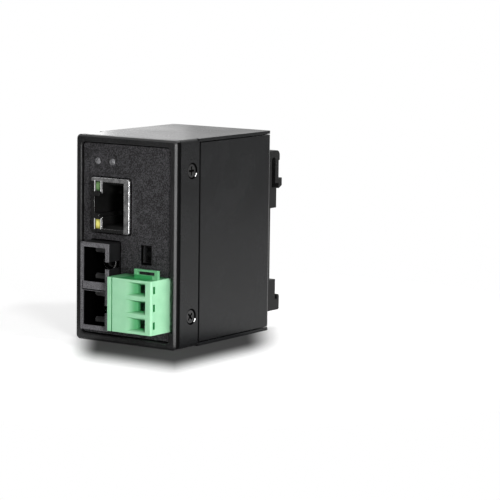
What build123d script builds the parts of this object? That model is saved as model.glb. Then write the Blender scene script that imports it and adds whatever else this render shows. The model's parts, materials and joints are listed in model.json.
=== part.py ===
from build123d import *
import os

os.makedirs("parts", exist_ok=True)

# Case. Lengths are millimetres; X runs to the right, Y to the back, Z up from the base.
# Its width, height and depth follow from the connectors and the boards that it holds.
sheet = 0.9
outline_corner = 1.3
seat_gap = 0.05
edge_gap = 0.3
overrun = 1.0

# Cast front frame with its recessed panel
frame_depth = 2.5
frame_border = 2.0
frame_edge = 0.6
frame_lip = 0.8
frame_rabbet = 0.3
recess_edge = 0.2
recess_depth = 0.9
recess_corner = 1.3
panel_thickness = 0.4
floor_step = recess_depth + panel_thickness
lug_thickness = 1.05
lug_length = 8.5
lug_height = 11.3

# Folded chassis: a band behind the frame with the top and bottom plates
strip_depth = 8.8
plate_setback = 0.4
strip_rear = frame_depth + strip_depth

# Rear cover: left side, back and right side folded from one sheet
cover_inset = 0.1
cover_slit = 0.25
cover_bend = 1.2
joggle_length = 0.6
joggle_bend = 0.5
tab_length = 6.2
tab_height = 12.0
tab_inset = 2.0

# Case screws, M3 with countersunk heads and a cross recess
screw_setback = 7.9
screw_from_edge = 9.0
screw_head_radius = 2.6
screw_radius = 1.45
screw_length = 2.55
thread_radius = screw_radius + seat_gap
pass_radius = 1.6
tab_slot_width = 4.2
sink_angle = 90
sink_gap = 0.35
drive_span = 2.6
drive_width = 0.6
drive_depth = 1.0

# Twisted-pair jack, lying on its side with the latch towards the left wall
jack_width = 13.8
jack_height = 16.0
jack_from_left = 5.7
jack_from_top = 12.1
jack_proud = 0.1
jack_length = 21.4
jack_skin = 0.3
jack_corner = 0.8
jack_cavity_width = 7.8
jack_rim = 1.2
jack_wall = 2.05
jack_cavity_height = jack_height - 2 * jack_rim
jack_plug_height = jack_height - 2 * jack_wall
jack_lead_in = 1.2
jack_cavity_depth = 13.5
jack_cavity_right = 1.9
latch_width = 2.8
latch_height = 5.1
latch_step_width = 1.1
latch_step_rim = 3.3
latch_step_height = jack_cavity_height - 2 * latch_step_rim
lamp_width = 1.8
lamp_height = 2.7
lamp_depth = 9.0
lamp_gap = 0.7
lens_edge = 0.2
lens_taper = 15
contact_count = 8
contact_pitch = 1.02
contact_width = 0.4
contact_thickness = 0.3
contact_front = 2.6
contact_drop = 3.1
contact_run = 6.9
contact_bend = 0.5
shield_peg_width = 1.6

# Duplex fibre port
fibre_width = 10.2
fibre_height = 25.4
fibre_from_left = 5.4
fibre_below_jack = 2.4
fibre_from_bottom = 4.1
fibre_proud = 4.5
fibre_length = 39.3
fibre_edge = 0.35
fibre_pitch = 12.7
port_width = 7.95
port_height = 10.0
port_left_wall = 1.0
port_depth = 14.0
key_width = 2.1
key_length = 6.4
barrel_radius = 2.3
barrel_wall = 0.35
barrel_setback = 7.5
ferrule_radius = 1.6
ferrule_bore = 1.25
ferrule_setback = 2.0
latch_arm_thickness = 0.9
latch_arm_setback = 3.6
latch_arm_width = 4.4
latch_arm_offset = 4.0
latch_hook = 0.5
latch_hook_flat = 0.5
latch_base_thickness = 2.0
seam_width = 0.35
seam_depth = 0.5
ledge_height = 2.2
fibre_pin_count = 9
fibre_pin_pitch = 2.54
fibre_pin = 0.46
fibre_pin_setback = 31.0

# Two-way switch behind its window
window_width = 2.9
window_height = 4.9
window_from_plug_left = 6.4
window_above_loop = 1.05
switch_width = 5.9
switch_height = 6.3
switch_depth = 4.4
switch_face = 1.4
switch_pitch = 2.54
switch_slot_width = 2.5
switch_slot_height = 1.3
lever_size = 1.1
lever_proud = 0.9
lever_base_length = 2.2
lever_base_height = 1.9
lever_base_depth = 0.8
lever_gap = 0.1
lever_travel = 1.2
switch_pin = 0.5

# Pluggable terminal: three poles, clamp screws on the left face
pole_count = 3
pole_pitch = 5.08
plug_width = 15.6
plug_height = 15.6
plug_from_fibre = 1.9
plug_from_right = 2.9
plug_from_bottom = 5.05
plug_proud = 7.5
block_depth = 10.0
mating_length = 8.2
mating_width = 6.9
mating_height = 14.2
mating_from_right = 1.1
plug_edge = 0.6
plug_gap = 0.1
groove_from_left = 1.45
groove_width = 0.3
groove_depth = 0.5
funnel_left = 6.65
funnel_right = 13.5
funnel_height = 3.88
funnel_depth = 1.5
entry_left = 9.85
entry_width = 3.25
entry_height = 2.5
entry_depth = 7.5
cage_chamber_left = 1.3
cage_chamber_right = 14.0
cage_chamber_front = 2.9
cage_chamber_depth = 4.4
cage_chamber_height = 4.1
test_slot_setback = 1.0
test_slot_width = 1.0
test_slot_height = 2.1
test_slot_depth = 1.4
loop_width = 8.4
loop_height = 2.6
loop_bar = 0.55
loop_side = 1.2
loop_sill = 1.1
loop_thickness = 1.0
loop_setback = 3.1
clamp_hole_radius = 1.95
clamp_head_radius = 1.75
clamp_head_height = 0.9
clamp_head_sink = 0.3
clamp_radius = 1.4
clamp_length = 8.0
clamp_slot_width = 0.5
clamp_slot_depth = 0.5
cage_width = 9.4
cage_height = 3.8
cage_depth = 4.0
cage_wall = 0.6
cage_nut = 1.2
cage_left = 4.4
plate_left = 8.8
plate_thickness = 0.8
plate_height = 3.0
socket_width = 3.0
socket_height = 2.0
socket_bore = 1.2
socket_start = 10.6
socket_length = 7.0

# Header that the plug goes into
header_wall = 0.8
header_gap = 0.1
header_floor = 1.4
header_edge = 0.2
header_front_gap = 0.2
header_pin = 1.0
header_pin_tip = 1.0
header_pin_run = 2.2
header_pin_stub = 0.5
header_foot = 3.6
header_foot_height = 1.6

# Circuit boards, upright along the side walls
board_thickness = 1.6
board_front = 3.4
board_length = 42.6
board_from_back = 1.6
board_from_plate = 0.9
board_to_fibre = 0.2
power_board_thickness = 1.2
power_board_to_tab = 0.1
power_board_drop = 16.0
power_step_behind_lug = 2.2
power_step_above_header = 1.15
switch_board_thickness = 0.8
switch_board_height = 8.6
hole_gap = 0.1
pin_stub = 0.8

# Snap posts on the left wall and snap spacers between the boards
post_flat = 4.4
post_from_front = 12.0
post_from_rear = 4.0
post_from_end = 5.6
spacer_above_fibre = 4.5
snap_width = 2.0
snap_height = 1.2
snap_barb = 0.4

# Status lamps in one holder
status_from_left = (7.4, 12.6)
status_from_top = 7.45
status_radius = 1.0
status_tip = 0.5
status_dome = 0.4
status_rear = 5.4
holder_front = 3.4
holder_depth = 6.0
holder_width = 9.6
holder_height = 4.0

# Parts on the boards: length along Y, height along Z, rise from the board along X
part_edge = 0.3
part_gap = 0.5
transformer_below_jack = 3.3
transformer_size = (9.0, jack_height - transformer_below_jack, 5.8)
transformer_behind_jack = 1.7
chip_size = (7.0, 7.0, 1.2)
chip_leads_per_side = 5
chip_lead_width = 0.3
chip_lead_reach = 0.9
chip_lead_thickness = 0.3
crystal_size = (4.2, 10.0, 3.5)
crystal_from_rear = 1.4
capacitor_radius = 3.1
capacitor_rise = 7.7
capacitor_base = 6.6
capacitor_base_rise = 1.0
capacitor_from_front = 10.5
capacitor_spacing = 8.0
capacitor_below_top = 4.5
bulk_radius = 4.0
bulk_rise = 10.0
bulk_from_rear = 14.0
bulk_from_low = 14.0
inductor_size = (7.3, 7.3, 4.0)
inductor_corner = 1.2
inductor_from_step = 7.8
inductor_below_link = 4.1
regulator_size = (5.0, 4.0, 1.5)
regulator_gap = 1.2
diode_size = (6.6, 5.8, 2.3)
diode_from_step = 8.3
link_from_rear = 11.5
link_above_fibre = 0.5
link_rows = 2
link_columns = 3
link_pitch = 2.54
link_socket_rise = 8.5
link_header_rise = 2.5
link_pin = 0.64
link_pin_reach = 5.0
link_pin_stub = 0.4

# Rail clip, one moulding on the back
clip_width = 30.0
clip_top_above_rail = 10.1
clip_foot_below_rail = 3.5
clip_plate = 4.0
clip_edge = 0.6
rail_height = 35.0
rail_lip = 1.0
rail_top_from_top = 16.7
rail_seat = 7.1
rail_play = 0.2
pad_height = 6.2
foot_reach = 9.3
nose_rise = 1.2
arm_front = 6.5
arm_rear = 8.2
arm_slot_front = 4.5
arm_slot_below_top = 2.0
arm_root_radius = 0.9
head_reach = 8.7
head_height = 3.0
head_corner = 1.5
hook_reach = 10.0
hook_height = 1.7
hook_drop = 1.5
clip_screw_spacing = 10.0
clip_screw_above_rail = 16.7
clip_screw_length = 6.2
clip_nut_radius = 2.6
clip_nut_height = 1.4


# Overall size and the limits that every piece is placed by
case_width = fibre_from_left + fibre_width + plug_from_fibre + plug_width + plug_from_right
case_height = jack_from_top + jack_height + fibre_below_jack + fibre_height + fibre_from_bottom
case_depth = board_front + board_length + board_from_back + sheet
left_x = -case_width / 2
right_x = case_width / 2
front_y = -case_depth / 2
back_y = case_depth / 2


def facing_front(y):
    """Plane seen from the front: local X to the right, local Y up, normal towards the viewer."""
    return Plane(origin=(0, y, 0), x_dir=(1, 0, 0), z_dir=(0, -1, 0))


def facing_right(x, y=0, z=0):
    """Plane seen from the right: local X to the back, local Y up, normal to the right."""
    return Plane(origin=(x, y, z), x_dir=(0, 1, 0), z_dir=(1, 0, 0))


def facing_left(x, y=0, z=0):
    return Plane(origin=(x, y, z), x_dir=(0, -1, 0), z_dir=(-1, 0, 0))


def facing_back(y, x=0, z=0):
    return Plane(origin=(x, y, z), x_dir=(-1, 0, 0), z_dir=(0, 1, 0))


def from_left(distance):
    return left_x + distance


def from_top(distance):
    return case_height - distance


def behind(distance):
    """Y of a place the given distance behind the front face."""
    return front_y + distance


def bar(x_span, y_span, z_span, mode=Mode.ADD):
    """Block between limits, added to the part that is being built."""
    with Locations((sum(x_span) / 2, sum(y_span) / 2, sum(z_span) / 2)):
        Box(x_span[1] - x_span[0], y_span[1] - y_span[0], z_span[1] - z_span[0], mode=mode)


def span(centre, size):
    return (centre - size / 2, centre + size / 2)


def save(builder, name):
    builder.part.label = name
    export_step(builder.part, f"parts/{name}.step")


# Places that several pieces share
jack_x = from_left(jack_from_left) + jack_width / 2
jack_z = from_top(jack_from_top) - jack_height / 2
jack_front = behind(-jack_proud)
jack_rear = jack_front + jack_length
fibre_x = from_left(fibre_from_left) + fibre_width / 2
fibre_z = fibre_from_bottom + fibre_height / 2
fibre_front = behind(-fibre_proud)
fibre_top = fibre_z + fibre_height / 2
plug_left = fibre_x + fibre_width / 2 + plug_from_fibre
plug_z = plug_from_bottom + plug_height / 2
plug_top = plug_from_bottom + plug_height
plug_front = behind(-plug_proud)
window_x = plug_left + window_from_plug_left + window_width / 2
window_z = plug_top + loop_height + window_above_loop + window_height / 2
status_xs = [from_left(place) for place in status_from_left]
status_z = from_top(status_from_top)
port_x = fibre_x - fibre_width / 2 + port_left_wall + port_width / 2
port_zs = (fibre_z - fibre_pitch / 2, fibre_z + fibre_pitch / 2)
pole_zs = [plug_z + (index - (pole_count - 1) / 2) * pole_pitch for index in range(pole_count)]
screw_y = behind(screw_setback)
screw_zs = (screw_from_edge, from_top(screw_from_edge))
tab_outer_x = right_x - sheet
wall_outer_x = right_x - cover_inset
wall_inner_x = wall_outer_x - sheet
cover_bottom = sheet + edge_gap
cover_top = from_top(cover_bottom)
cover_front = behind(strip_rear + cover_slit + joggle_length)
tab_front = cover_front - joggle_length - tab_length
main_board_x = (from_left(fibre_from_left) - board_to_fibre - board_thickness,
                from_left(fibre_from_left) - board_to_fibre)
power_x = (tab_outer_x - sheet - power_board_to_tab - power_board_thickness,
           tab_outer_x - sheet - power_board_to_tab)
board_rear = behind(board_front + board_length)
rail_top = from_top(rail_top_from_top)
rail_bottom = rail_top - rail_height


def straight_openings(mode):
    """Openings for fibre port, switch and plug through frame or panel, in the sketch that is being drawn."""
    with Locations((fibre_x, fibre_z)):
        Rectangle(fibre_width + 2 * seat_gap, fibre_height + 2 * seat_gap, mode=mode)
    with Locations((window_x, window_z)):
        Rectangle(window_width, window_height, mode=mode)
    notch_right = right_x - sheet
    with Locations(((plug_left - plug_gap + notch_right) / 2, plug_z)):
        Rectangle(notch_right - plug_left + plug_gap, plug_height + 2 * plug_gap, mode=mode)


def countersunk_screw(length):
    """Screw along Z with its flat head at the origin and its tip below."""
    cone = screw_head_radius - screw_radius
    with BuildPart() as screw:
        with BuildSketch(Plane.XZ):
            with BuildLine():
                Polyline((0, 0), (screw_head_radius, 0), (screw_radius, -cone),
                         (screw_radius, -length), (0, -length), close=True)
            make_face()
        revolve(axis=Axis.Z)
        with BuildSketch(Plane.XY):
            Rectangle(drive_span, drive_width)
            Rectangle(drive_width, drive_span)
        extrude(amount=-drive_depth, mode=Mode.SUBTRACT)
    return screw.part


def side_screw_places(sunk=0):
    """Places of the case screws, on the outer side faces or sunk below them."""
    planes = [facing_right(right_x - sunk, screw_y, z) for z in screw_zs]
    planes += [facing_left(left_x + sunk, screw_y, z) for z in screw_zs]
    return Locations(*[plane.location for plane in planes])


# Front frame: a cast ring and floor, chamfered along its front edge and stepped in behind the lip
# on both sides, with four threaded lugs
with BuildPart() as front_bezel:
    with BuildSketch(facing_front(behind(frame_depth))):
        with Locations((0, case_height / 2)):
            RectangleRounded(case_width, case_height, outline_corner)
    extrude(amount=frame_depth)
    chamfer(front_bezel.faces().sort_by(Axis.Y)[0].edges(), frame_edge)
    with BuildSketch(facing_front(behind(floor_step))):
        with Locations((0, case_height / 2)):
            RectangleRounded(case_width - 2 * frame_border, case_height - 2 * frame_border, recess_corner)
    extrude(amount=floor_step, mode=Mode.SUBTRACT)
    rim = front_bezel.faces().sort_by(Axis.Y)[0].inner_wires()[0].edges()
    chamfer(rim, recess_edge)
    with BuildSketch(facing_front(behind(frame_depth))):
        straight_openings(Mode.ADD)
        with Locations((jack_x, jack_z)):
            Rectangle(jack_width + 2 * seat_gap, jack_height + 2 * seat_gap)
        with Locations((sum(status_xs) / 2, status_z)):
            status_hole = 2 * (status_radius + seat_gap)
            Rectangle(status_xs[1] - status_xs[0] + status_hole, status_hole)
    extrude(amount=frame_depth + overrun, mode=Mode.SUBTRACT)
    lug_outer = tab_outer_x - sheet
    for side in (-1, 1):
        rabbet_x = sorted((side * (right_x - frame_rabbet), side * (right_x + overrun)))
        bar(rabbet_x, (behind(frame_lip), behind(frame_depth)), (-overrun, case_height + overrun),
            mode=Mode.SUBTRACT)
        for end in (0, 1):
            lug_x = sorted((side * lug_outer, side * (lug_outer - lug_thickness)))
            lug_low = cover_bottom if end == 0 else cover_top - lug_height
            bar(lug_x, (behind(frame_depth), behind(frame_depth + lug_length)), (lug_low, lug_low + lug_height))
    with side_screw_places():
        Hole(radius=thread_radius, depth=2 * frame_border)
save(front_bezel, "front_bezel")

# Panel: thin textured plate glued into the recess
with BuildPart() as front_panel:
    with BuildSketch(facing_front(behind(floor_step))):
        with Locations((0, case_height / 2)):
            RectangleRounded(case_width - 2 * frame_border - 2 * seat_gap,
                             case_height - 2 * frame_border - 2 * seat_gap, recess_corner - seat_gap)
        straight_openings(Mode.SUBTRACT)
        with Locations((jack_x, jack_z)):
            RectangleRounded(jack_width + 2 * seat_gap, jack_height + 2 * seat_gap, jack_corner,
                             mode=Mode.SUBTRACT)
        with Locations(*[(x, status_z) for x in status_xs]):
            Circle(status_radius + seat_gap, mode=Mode.SUBTRACT)
    extrude(amount=panel_thickness)
save(front_panel, "front_panel")

# Chassis: band with rounded corners, from which the top and bottom plates run to the back
with BuildPart() as chassis:
    with BuildSketch(facing_front(behind(strip_rear))):
        with Locations((0, case_height / 2)):
            RectangleRounded(case_width, case_height, outline_corner)
            RectangleRounded(case_width - 2 * sheet, case_height - 2 * sheet,
                             outline_corner - sheet, mode=Mode.SUBTRACT)
    extrude(amount=strip_depth)
    for plate_bottom in (0, case_height - sheet):
        with BuildSketch(Plane.XY.offset(plate_bottom)):
            with Locations((0, (behind(strip_rear) + back_y - plate_setback) / 2)):
                Rectangle(case_width, back_y - plate_setback - behind(strip_rear))
        extrude(amount=sheet)
    with side_screw_places():
        CounterSinkHole(radius=pass_radius, counter_sink_radius=screw_head_radius + sink_gap,
                        depth=2 * frame_border, counter_sink_angle=sink_angle)
save(chassis, "chassis")

# Rear cover: the folded line of its sheet, thickened, with slotted tabs joggled in behind the strips
with BuildPart() as rear_cover:
    tab_mid = tab_outer_x - sheet / 2
    wall_mid = wall_outer_x - sheet / 2
    back_mid = back_y - sheet / 2
    with BuildSketch(Plane.XY.offset(cover_bottom)):
        with BuildLine():
            half = [(tab_mid, tab_front), (tab_mid, cover_front - joggle_length),
                    (wall_mid, cover_front), (wall_mid, back_mid)]
            other_half = [(-x, y) for x, y in reversed(half)]
            bends = [joggle_bend, joggle_bend, cover_bend]
            FilletPolyline(*half, *other_half, radius=bends + bends[::-1])
        trace(line_width=sheet)
    extrude(amount=cover_top - cover_bottom)
    tab_low = (cover_bottom + tab_inset, cover_bottom + tab_inset + tab_height)
    tab_high = (cover_top - tab_inset - tab_height, cover_top - tab_inset)
    tab_zone_y = (tab_front - overrun, cover_front - joggle_length)
    for z_span in ((cover_bottom - overrun, tab_low[0]), (tab_low[1], tab_high[0]),
                   (tab_high[1], cover_top + overrun)):
        bar((left_x, right_x), tab_zone_y, z_span, mode=Mode.SUBTRACT)
    for z in screw_zs:
        bar((left_x, right_x), (tab_front - overrun, screw_y + tab_slot_width / 2), span(z, tab_slot_width),
            mode=Mode.SUBTRACT)
    clip_screw_zs = span(rail_bottom + clip_screw_above_rail, clip_screw_spacing)
    with Locations(*[facing_back(back_y, 0, z).location for z in clip_screw_zs]):
        Hole(radius=pass_radius, depth=2 * sheet)
save(rear_cover, "rear_cover")

# Case screws, two on each side
with BuildPart() as case_screws:
    with side_screw_places(sunk=sink_gap - seat_gap):
        add(countersunk_screw(screw_length))
save(case_screws, "case_screws")

# Rail clip: sprung inverted hook at the top, fixed foot at the bottom, seat pads for the rail's lips
clip_top = rail_top + clip_top_above_rail
clip_low = rail_bottom - clip_foot_below_rail
slot_top = clip_top - arm_slot_below_top
lip_rear = rail_seat + rail_lip + rail_play
with BuildPart() as din_clip:
    with BuildSketch(facing_right(-clip_width / 2)) as profile:
        with BuildLine():
            points = [
                (0, clip_low),
                (foot_reach, clip_low),
                (foot_reach, rail_bottom + nose_rise),
                (lip_rear, rail_bottom + nose_rise),
                (lip_rear, rail_bottom - rail_play),
                (rail_seat, rail_bottom - rail_play),
                (rail_seat, rail_bottom - rail_play + pad_height),
                (clip_plate, rail_bottom - rail_play + pad_height),
                (clip_plate, rail_top - rail_lip - pad_height),
                (rail_seat, rail_top - rail_lip - pad_height),
                (rail_seat, rail_top - rail_lip),
                (arm_slot_front, rail_top - rail_lip),
                (arm_slot_front, slot_top),
                (arm_front, slot_top),
                (arm_front, rail_top + rail_play),
                (lip_rear, rail_top + rail_play),
                (lip_rear, rail_top - hook_drop),
                (hook_reach, rail_top - hook_drop + hook_height / 2),
                (hook_reach, rail_top + hook_height),
                (arm_rear, rail_top + hook_height),
                (arm_rear, clip_top - head_height),
                (head_reach, clip_top - head_height),
                (head_reach, clip_top),
                (0, clip_top),
            ]
            Polyline(*[(back_y + depth, z) for depth, z in points], close=True)
        make_face()

        def corner(depth, z):
            return profile.vertices().sort_by_distance((back_y + depth, z))[0]

        fillet(corner(head_reach, clip_top), head_corner)
        fillet([corner(foot_reach, clip_low), corner(foot_reach, rail_bottom + nose_rise)], clip_edge)
        fillet([corner(arm_slot_front, slot_top),
                corner(arm_front, slot_top)], arm_root_radius)
    extrude(amount=clip_width)
    with Locations(*[facing_back(back_y + clip_plate, 0, z).location for z in clip_screw_zs]):
        CounterSinkHole(radius=pass_radius, counter_sink_radius=screw_head_radius + seat_gap,
                        depth=clip_plate + overrun, counter_sink_angle=sink_angle)
save(din_clip, "din_clip")

with BuildPart() as clip_screws:
    with Locations(*[facing_back(back_y + clip_plate, 0, z).location for z in clip_screw_zs]):
        add(countersunk_screw(clip_screw_length))
save(clip_screws, "clip_screws")

# Clinch nuts on the inside of the back wall
with BuildPart() as clip_nuts:
    with BuildSketch(facing_front(back_y - sheet)):
        with Locations(*[(0, z) for z in clip_screw_zs]):
            RegularPolygon(clip_nut_radius, 6)
            Circle(thread_radius, mode=Mode.SUBTRACT)
    extrude(amount=clip_nut_height)
save(clip_nuts, "clip_nuts")

# Jack shield: folded skin with a front plate pierced for cavity, latch and lamps
cavity_right = jack_x + jack_width / 2 - jack_cavity_right
cavity_x = cavity_right - jack_cavity_width / 2
cavity_left = cavity_right - jack_cavity_width
lamp_x = cavity_left - lamp_gap - lamp_width / 2
lamp_zs = span(jack_z, jack_cavity_height + seat_gap - lamp_height + seat_gap)


with BuildPart() as rj45_shield:
    with BuildSketch(facing_front(jack_rear)):
        with Locations((jack_x, jack_z)):
            RectangleRounded(jack_width, jack_height, jack_corner)
            RectangleRounded(jack_width - 2 * jack_skin, jack_height - 2 * jack_skin,
                             jack_corner - jack_skin, mode=Mode.SUBTRACT)
    extrude(amount=jack_length)
    with BuildSketch(facing_front(jack_front + jack_skin)):
        with Locations((jack_x, jack_z)):
            RectangleRounded(jack_width, jack_height, jack_corner)
        with Locations((cavity_x, jack_z)):
            Rectangle(jack_cavity_width, jack_cavity_height, mode=Mode.SUBTRACT)
        with Locations((cavity_left - latch_step_width / 2, jack_z)):
            Rectangle(latch_step_width, latch_step_height, mode=Mode.SUBTRACT)
        with Locations((cavity_left - latch_width / 2, jack_z)):
            Rectangle(latch_width, latch_height, mode=Mode.SUBTRACT)
        with Locations(*[(lamp_x, z) for z in lamp_zs]):
            Rectangle(lamp_width, lamp_height, mode=Mode.SUBTRACT)
    extrude(amount=jack_skin)
    peg_y = (jack_rear - jack_cavity_depth, jack_rear - jack_cavity_depth + shield_peg_width)
    for z_span in ((jack_z - jack_height / 2, jack_z - jack_height / 2 + jack_skin),
                   (jack_z + jack_height / 2 - jack_skin, jack_z + jack_height / 2)):
        bar((main_board_x[1], jack_x - jack_width / 2 + jack_corner), peg_y, z_span)
save(rj45_shield, "rj45_shield")

# Jack housing: black insert with the plug cavity, latch notch and lamp pockets
insert_front = jack_front + jack_skin
with BuildPart() as rj45_housing:
    with BuildSketch(facing_front(jack_rear)):
        with Locations((jack_x, jack_z)):
            RectangleRounded(jack_width - 2 * jack_skin - 2 * seat_gap,
                             jack_height - 2 * jack_skin - 2 * seat_gap, jack_corner - jack_skin)
    extrude(amount=jack_rear - insert_front)
    with BuildSketch(facing_front(insert_front + jack_cavity_depth)):
        with Locations((cavity_x, jack_z)):
            Rectangle(jack_cavity_width, jack_plug_height)
        with Locations((cavity_left - latch_width / 2, jack_z)):
            Rectangle(latch_width, latch_height)
    extrude(amount=jack_cavity_depth, mode=Mode.SUBTRACT)
    lead_in_z = span(jack_cavity_height / 2, jack_plug_height)
    with Locations((cavity_x, insert_front + jack_lead_in / 2, jack_z)):
        Wedge(jack_cavity_width, jack_lead_in, jack_cavity_height,
              0, lead_in_z[0], jack_cavity_width, lead_in_z[1], mode=Mode.SUBTRACT)
    with BuildSketch(facing_front(insert_front + lamp_depth)):
        with Locations(*[(lamp_x, z) for z in lamp_zs]):
            Rectangle(lamp_width + 2 * seat_gap, lamp_height + 2 * seat_gap)
        with Locations((cavity_left - latch_step_width / 2, jack_z)):
            Rectangle(latch_step_width, latch_step_height)
    extrude(amount=lamp_depth, mode=Mode.SUBTRACT)
save(rj45_housing, "rj45_housing")

# Eight contact springs, bent back into the cavity
contact_zs = [jack_z + (index - (contact_count - 1) / 2) * contact_pitch for index in range(contact_count)]
with BuildPart() as rj45_contacts:
    wall = cavity_right - contact_thickness / 2
    near = insert_front + contact_front
    far = insert_front + jack_cavity_depth
    for contact_z in contact_zs:
        with BuildSketch(Plane.XY.offset(contact_z - contact_width / 2)):
            with BuildLine():
                Polyline((wall, far), (wall, near + contact_bend), (wall - contact_bend / 2, near),
                         (wall - contact_bend, near + contact_bend),
                         (wall - contact_drop, near + contact_run))
            trace(line_width=contact_thickness)
        extrude(amount=contact_width)
save(rj45_contacts, "rj45_contacts")

# Lamps of the jack
for lamp_name, lamp_z in zip(("rj45_led_yellow", "rj45_led_green"), lamp_zs):
    with BuildPart() as lamp:
        with BuildSketch(facing_front(insert_front + lamp_depth)):
            with Locations((lamp_x, lamp_z)):
                Rectangle(lamp_width, lamp_height)
        extrude(amount=lamp_depth)
        with BuildSketch(facing_front(insert_front)):
            with Locations((lamp_x, lamp_z)):
                Rectangle(lamp_width - 2 * lens_edge, lamp_height - 2 * lens_edge)
        extrude(amount=jack_skin, taper=lens_taper)
    save(lamp, lamp_name)

# Fibre port housing: two rectangular receptacles with key slots in the right wall
fibre_rear = fibre_front + fibre_length
with BuildPart() as sc_housing:
    with BuildSketch(facing_front(fibre_rear)):
        with Locations((fibre_x, fibre_z)):
            Rectangle(fibre_width, fibre_height)
    extrude(amount=fibre_length)
    fillet(sc_housing.edges().filter_by(Axis.Y), fibre_edge)
    with BuildSketch(facing_front(fibre_front + port_depth)):
        with Locations(*[(port_x, z) for z in port_zs]):
            Rectangle(port_width, port_height)
    extrude(amount=port_depth, mode=Mode.SUBTRACT)
    key_right = fibre_x + fibre_width / 2 + overrun
    with BuildSketch(facing_front(fibre_front + key_length)):
        with Locations(*[((port_x + key_right) / 2, z) for z in port_zs]):
            Rectangle(key_right - port_x, key_width)
    extrude(amount=key_length + overrun, mode=Mode.SUBTRACT)
    ledge_top = port_zs[1] - port_height / 2
    ledge_left = fibre_x - fibre_width / 2 + port_left_wall / 2
    with BuildSketch(facing_front(fibre_front + seam_depth)):
        ledge_right = port_x + port_width / 2
        with Locations(((ledge_left + ledge_right) / 2, ledge_top - ledge_height - seam_width / 2)):
            Rectangle(ledge_right - ledge_left, seam_width)
        with Locations((ledge_left + seam_width / 2, ledge_top - ledge_height / 2)):
            Rectangle(seam_width, ledge_height)
    extrude(amount=seam_depth, mode=Mode.SUBTRACT)
save(sc_housing, "sc_housing")

# Inside each receptacle: a base with two hooked arms, a metal barrel and a split ceramic sleeve
port_floor = fibre_front + port_depth
barrel_front = fibre_front + barrel_setback
for latch_name, latch_z in zip(("sc_latch_lower", "sc_latch_upper"), port_zs):
    with BuildPart() as latch:
        with BuildSketch(facing_front(port_floor)):
            with Locations((port_x, latch_z)):
                Rectangle(port_width - 2 * seat_gap, port_height - 2 * seat_gap)
                Circle(barrel_radius + seat_gap, mode=Mode.SUBTRACT)
        extrude(amount=latch_base_thickness)
        arm_front_y = fibre_front + latch_arm_setback
        arm_rear_y = port_floor - latch_base_thickness
        for side in (-1, 1):
            outer_z = latch_z + side * (latch_arm_offset + latch_arm_thickness / 2)
            inner_z = outer_z - side * latch_arm_thickness
            hook_z = inner_z - side * latch_hook
            with BuildSketch(facing_right(port_x - latch_arm_width / 2)):
                with BuildLine():
                    Polyline((arm_rear_y, outer_z), (arm_front_y, outer_z), (arm_front_y, inner_z),
                             (arm_front_y + latch_hook, hook_z),
                             (arm_front_y + latch_hook + latch_hook_flat, hook_z),
                             (arm_front_y + 2 * latch_hook + latch_hook_flat, inner_z),
                             (arm_rear_y, inner_z), close=True)
                make_face()
            extrude(amount=latch_arm_width)
    save(latch, latch_name)

with BuildPart() as sc_barrels:
    with BuildSketch(facing_front(port_floor)):
        with Locations(*[(port_x, z) for z in port_zs]):
            Circle(barrel_radius)
            Circle(ferrule_radius + seat_gap, mode=Mode.SUBTRACT)
    extrude(amount=port_floor - barrel_front)
    with BuildSketch(facing_front(barrel_front)):
        with Locations(*[(port_x, z) for z in port_zs]):
            Circle(barrel_radius - barrel_wall)
    extrude(amount=-ferrule_setback, mode=Mode.SUBTRACT)
save(sc_barrels, "sc_barrels")

with BuildPart() as sc_sleeves:
    with BuildSketch(facing_front(port_floor)):
        with Locations(*[(port_x, z) for z in port_zs]):
            Circle(ferrule_radius)
            Circle(ferrule_bore, mode=Mode.SUBTRACT)
        with Locations(*[(port_x, z + ferrule_radius) for z in port_zs]):
            Rectangle(seam_width, ferrule_radius, mode=Mode.SUBTRACT)
    extrude(amount=port_floor - barrel_front - ferrule_setback / 2)
save(sc_sleeves, "sc_sleeves")

# Pins of the fibre module through the main board
fibre_left = fibre_x - fibre_width / 2
fibre_pin_zs = [fibre_z + (index - (fibre_pin_count - 1) / 2) * fibre_pin_pitch
                for index in range(fibre_pin_count)]
fibre_pin_y = fibre_front + fibre_pin_setback
pin_tip_x = main_board_x[0] - pin_stub
with BuildPart() as sc_pins:
    with BuildSketch(facing_right(pin_tip_x)):
        with Locations(*[(fibre_pin_y, z) for z in fibre_pin_zs]):
            Rectangle(fibre_pin, fibre_pin)
    extrude(amount=fibre_left - pin_tip_x)
save(sc_pins, "sc_pins")

# Switch: body with two slots, open at the back, and two sliding levers
switch_front = behind(frame_depth + seat_gap * 2)
switch_rear = switch_front + switch_depth
lever_zs = span(window_z, switch_pitch)
chamber_half = (lever_base_length + lever_travel) / 2 + lever_gap
with BuildPart() as dip_body:
    with BuildSketch(facing_front(switch_rear)):
        with Locations((window_x, window_z)):
            Rectangle(switch_width, switch_height)
    extrude(amount=switch_depth)
    with BuildSketch(facing_front(switch_front + switch_face)):
        with Locations(*[(window_x, z) for z in lever_zs]):
            Rectangle(switch_slot_width, switch_slot_height)
    extrude(amount=switch_face, mode=Mode.SUBTRACT)
    with BuildSketch(facing_front(switch_rear)):
        with Locations(*[(window_x, z) for z in lever_zs]):
            Rectangle(2 * chamber_half, lever_base_height + 2 * lever_gap)
    extrude(amount=switch_depth - switch_face, mode=Mode.SUBTRACT)
save(dip_body, "dip_body")

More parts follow.
